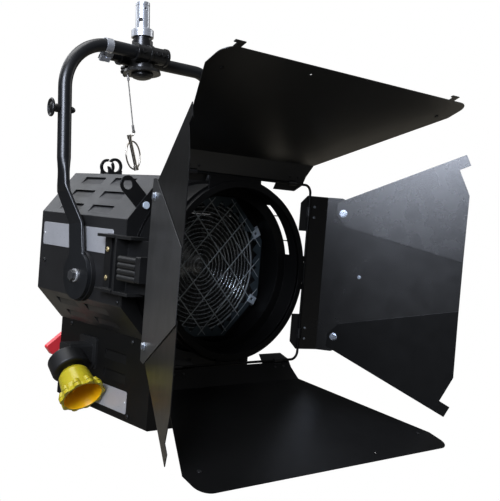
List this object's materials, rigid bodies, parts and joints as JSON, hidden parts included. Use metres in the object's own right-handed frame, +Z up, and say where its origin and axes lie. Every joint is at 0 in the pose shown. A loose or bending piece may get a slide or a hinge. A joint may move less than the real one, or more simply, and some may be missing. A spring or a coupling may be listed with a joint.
{
  "type": "fresnel spotlight",
  "caption": "Yoke-hung fresnel spotlight with a rotating barndoor, hinged lens door, sliding lamp carriage and pole-turned focus.",
  "frame": {"origin": "at the middle of the spigot's pin, on the pan axis", "axes": "+Z up along the spigot; the beam leaves towards -Y and dips 6.4 degrees at rest; +X is on the right of a person facing the lens"},
  "size_m": [0.6446, 0.8004, 0.8464],
  "materials": {
    "black_paint": "satin black powder coat",
    "tube_paint": "satin black enamel on tube",
    "bright_alloy": "machined aluminium",
    "plated_steel": "zinc-plated steel",
    "gold_plate": "yellow-passivated steel and brass",
    "lens_glass": "pressed heat-resistant glass",
    "lamp_glass": "quartz glass",
    "mirror_metal": "polished anodised reflector",
    "mesh_steel": "blued steel mesh",
    "yellow_plastic": "glossy yellow moulding",
    "red_plastic": "glossy red moulding",
    "black_plastic": "moulded black plastic",
    "ceramic": "lamp-holder ceramic",
    "plate_silver": "brushed blank plate",
    "black_rubber": "cable sheath and gland"
  },
  "bodies": {
    "hanger": {"spigot_pin": "bright_alloy", "pan_bearing": "black_paint"},
    "yoke": {"pivot_casting": "black_paint", "yoke_arm_left": "tube_paint", "yoke_arm_right": "tube_paint", "arm_fixings": "black_paint", "cable_clip": "bright_alloy"},
    "pan_lock": {"pan_lock_knob": "black_plastic"},
    "thumb_screw": {"arm_thumb_screw": "black_paint"},
    "lanyard": {"lanyard_cable": "plated_steel"},
    "hitch": {"hitch_pin": "plated_steel"},
    "head": {"housing_wrap": "black_paint", "rear_panel": "black_paint", "front_bulkhead": "black_paint", "floor_plate": "black_paint", "base_box": "black_paint", "housing_screws": "black_paint", "catch_screws": "gold_plate", "blank_plates": "plate_silver", "cable_hooks": "black_paint", "tilt_friction_discs": "black_paint", "tilt_bolts": "plated_steel", "focus_gearbox": "black_plastic", "guide_rods": "plated_steel", "supply_entry": "black_rubber", "switch_body": "black_plastic", "lens_door_hinge": "black_paint", "door_catch_bracket": "black_paint"},
    "tilt_lock": {"tilt_lock_knob": "black_plastic"},
    "switch": {"power_switch_lever": "red_plastic"},
    "focus_cup": {"focus_pole_cup": "yellow_plastic"},
    "lead_screw": {"focus_lead_screw": "plated_steel"},
    "carriage": {"lamp_carriage": "bright_alloy", "reflector": "mirror_metal", "lamp_holder": "ceramic", "lamp": "lamp_glass"},
    "lens_door": {"lens_door_frame": "black_paint", "snoot": "black_paint", "fresnel_lens": "lens_glass", "lens_holder": "black_paint", "wire_guard": "mesh_steel", "lens_door_fittings": "plated_steel", "door_catch_housing": "black_plastic"},
    "catch_grip": {"door_catch_grip": "black_plastic"},
    "keeper": {"accessory_lever": "black_paint"},
    "barndoor": {"barndoor_ring": "black_paint"},
    "leaf_top_body": {"leaf_top": "black_paint", "hinge_plates_top": "black_paint"},
    "leaf_bottom_body": {"leaf_bottom": "black_paint", "hinge_plates_bottom": "black_paint"},
    "leaf_left_body": {"leaf_left": "black_paint", "hinge_plates_left": "black_paint", "leaf_fasteners_left": "plated_steel"},
    "wing_left_a_body": {"wing_left_a": "black_paint"},
    "wing_left_b_body": {"wing_left_b": "black_paint"},
    "leaf_right_body": {"leaf_right": "black_paint", "hinge_plates_right": "black_paint", "leaf_fasteners_right": "plated_steel"},
    "wing_right_a_body": {"wing_right_a": "black_paint"},
    "wing_right_b_body": {"wing_right_b": "black_paint"}
  },
  "joints": [
    {"name": "pan_turn", "type": "hinge", "parent": "hanger", "child": "yoke", "pos_m": [0, 0, -0.0905], "axis": [0, 0, 1], "range_deg": [-180, 180]},
    {"name": "pan_lock_turn", "type": "hinge", "parent": "yoke", "child": "pan_lock", "pos_m": [0, 0.03, -0.0995], "axis": [0, 1, 0], "range_deg": [0, 270]},
    {"name": "thumb_screw_turn", "type": "hinge", "parent": "yoke", "child": "thumb_screw", "pos_m": [-0.185, -0.0235, -0.2195], "axis": [1, 0, 0], "range_deg": [0, 270]},
    {"name": "tilt_turn", "type": "hinge", "parent": "yoke", "child": "head", "pos_m": [0.007, -0.056, -0.5275], "axis": [1, 0, 0], "range_deg": [-40, 80]},
    {"name": "lanyard_swing", "type": "hinge", "parent": "yoke", "child": "lanyard", "pos_m": [-0.034, 0, -0.122], "axis": [1, 0, 0], "range_deg": [-80, 40]},
    {"name": "hitch_pin_swing", "type": "hinge", "parent": "lanyard", "child": "hitch", "pos_m": [-0.018, 0, -0.2375], "axis": [0, 1, 0], "range_deg": [-30, 12]},
    {"name": "tilt_lock_turn", "type": "hinge", "parent": "head", "child": "tilt_lock", "pos_m": [0.207, -0.056, -0.5275], "axis": [1, 0, 0], "range_deg": [-180, 0]},
    {"name": "power_switch_turn", "type": "hinge", "parent": "head", "child": "switch", "pos_m": [-0.072, 0.12743, -0.63774], "axis": [0, 0.9938, 0.1115], "range_deg": [-80, 0]},
    {"name": "focus_cup_turn", "type": "hinge", "parent": "head", "child": "focus_cup", "pos_m": [-0.151, 0.0144, -0.68866], "axis": [0, -0.7103, -0.7039], "range_deg": [-540, 540]},
    {"name": "lead_screw_turn", "type": "hinge", "parent": "head", "child": "lead_screw", "pos_m": [0.007, -0.04664, -0.61098], "axis": [0, -0.9938, -0.1115], "range_deg": [-1980, 1980]},
    {"name": "carriage_slide", "type": "slide", "parent": "head", "child": "carriage", "axis": [0, -0.9938, -0.1115], "range_m": [-0.055, 0.055]},
    {"name": "lens_door_turn", "type": "hinge", "parent": "head", "child": "lens_door", "pos_m": [0.181, -0.19362, -0.50269], "axis": [0, -0.1115, 0.9938], "range_deg": [0, 90]},
    {"name": "door_catch_slide", "type": "slide", "parent": "lens_door", "child": "catch_grip", "axis": [0, -0.1115, 0.9938], "range_m": [0, 0.005]},
    {"name": "keeper_turn", "type": "hinge", "parent": "lens_door", "child": "keeper", "pos_m": [-0.127, -0.20438, -0.40679], "axis": [0, 0.9938, 0.1115], "range_deg": [-25, 25]},
    {"name": "barndoor_turn", "type": "hinge", "parent": "lens_door", "child": "barndoor", "pos_m": [0.007, -0.28842, -0.51875], "axis": [0, -0.9938, -0.1115], "range_deg": [-90, 90]},
    {"name": "leaf_top_turn", "type": "hinge", "parent": "barndoor", "child": "leaf_top_body", "pos_m": [0.007, -0.31355, -0.35755], "axis": [-1, 0, 0], "range_deg": [-59, 38]},
    {"name": "leaf_bottom_turn", "type": "hinge", "parent": "barndoor", "child": "leaf_bottom_body", "pos_m": [0.007, -0.27721, -0.68152], "axis": [1, 0, 0], "range_deg": [-49, 60]},
    {"name": "leaf_left_turn", "type": "hinge", "parent": "barndoor", "child": "leaf_left_body", "pos_m": [-0.156, -0.29538, -0.51953], "axis": [0, -0.1115, 0.9938], "range_deg": [-40, 60]},
    {"name": "wing_left_a_turn", "type": "hinge", "parent": "leaf_left_body", "child": "wing_left_a_body", "pos_m": [-0.20375, -0.32785, -0.6399], "axis": [0.9078, -0.4168, -0.0468], "range_deg": [-9, 30]},
    {"name": "wing_left_b_turn", "type": "hinge", "parent": "leaf_left_body", "child": "wing_left_b_body", "pos_m": [-0.20375, -0.35371, -0.40935], "axis": [-0.9078, 0.4168, 0.0468], "range_deg": [-9, 30]},
    {"name": "leaf_right_turn", "type": "hinge", "parent": "barndoor", "child": "leaf_right_body", "pos_m": [0.17, -0.29538, -0.51953], "axis": [0, 0.1115, -0.9938], "range_deg": [-35, 68]},
    {"name": "wing_right_a_turn", "type": "hinge", "parent": "leaf_right_body", "child": "wing_right_a_body", "pos_m": [0.22338, -0.34703, -0.4086], "axis": [-0.8443, -0.5325, -0.0597], "range_deg": [-9, 30]},
    {"name": "wing_right_b_turn", "type": "hinge", "parent": "leaf_right_body", "child": "wing_right_b_body", "pos_m": [0.22338, -0.32117, -0.63915], "axis": [0.8443, 0.5325, 0.0597], "range_deg": [-9, 30]}
  ],
  "couplings": [
    {"joint": "lanyard_swing", "follows": "tilt_turn", "ratio": -1},
    {"joint": "lead_screw_turn", "follows": "focus_cup_turn", "ratio": 3.6667},
    {"joint": "carriage_slide", "follows": "focus_cup_turn", "m_per_rad": 0.0058357}
  ]
}
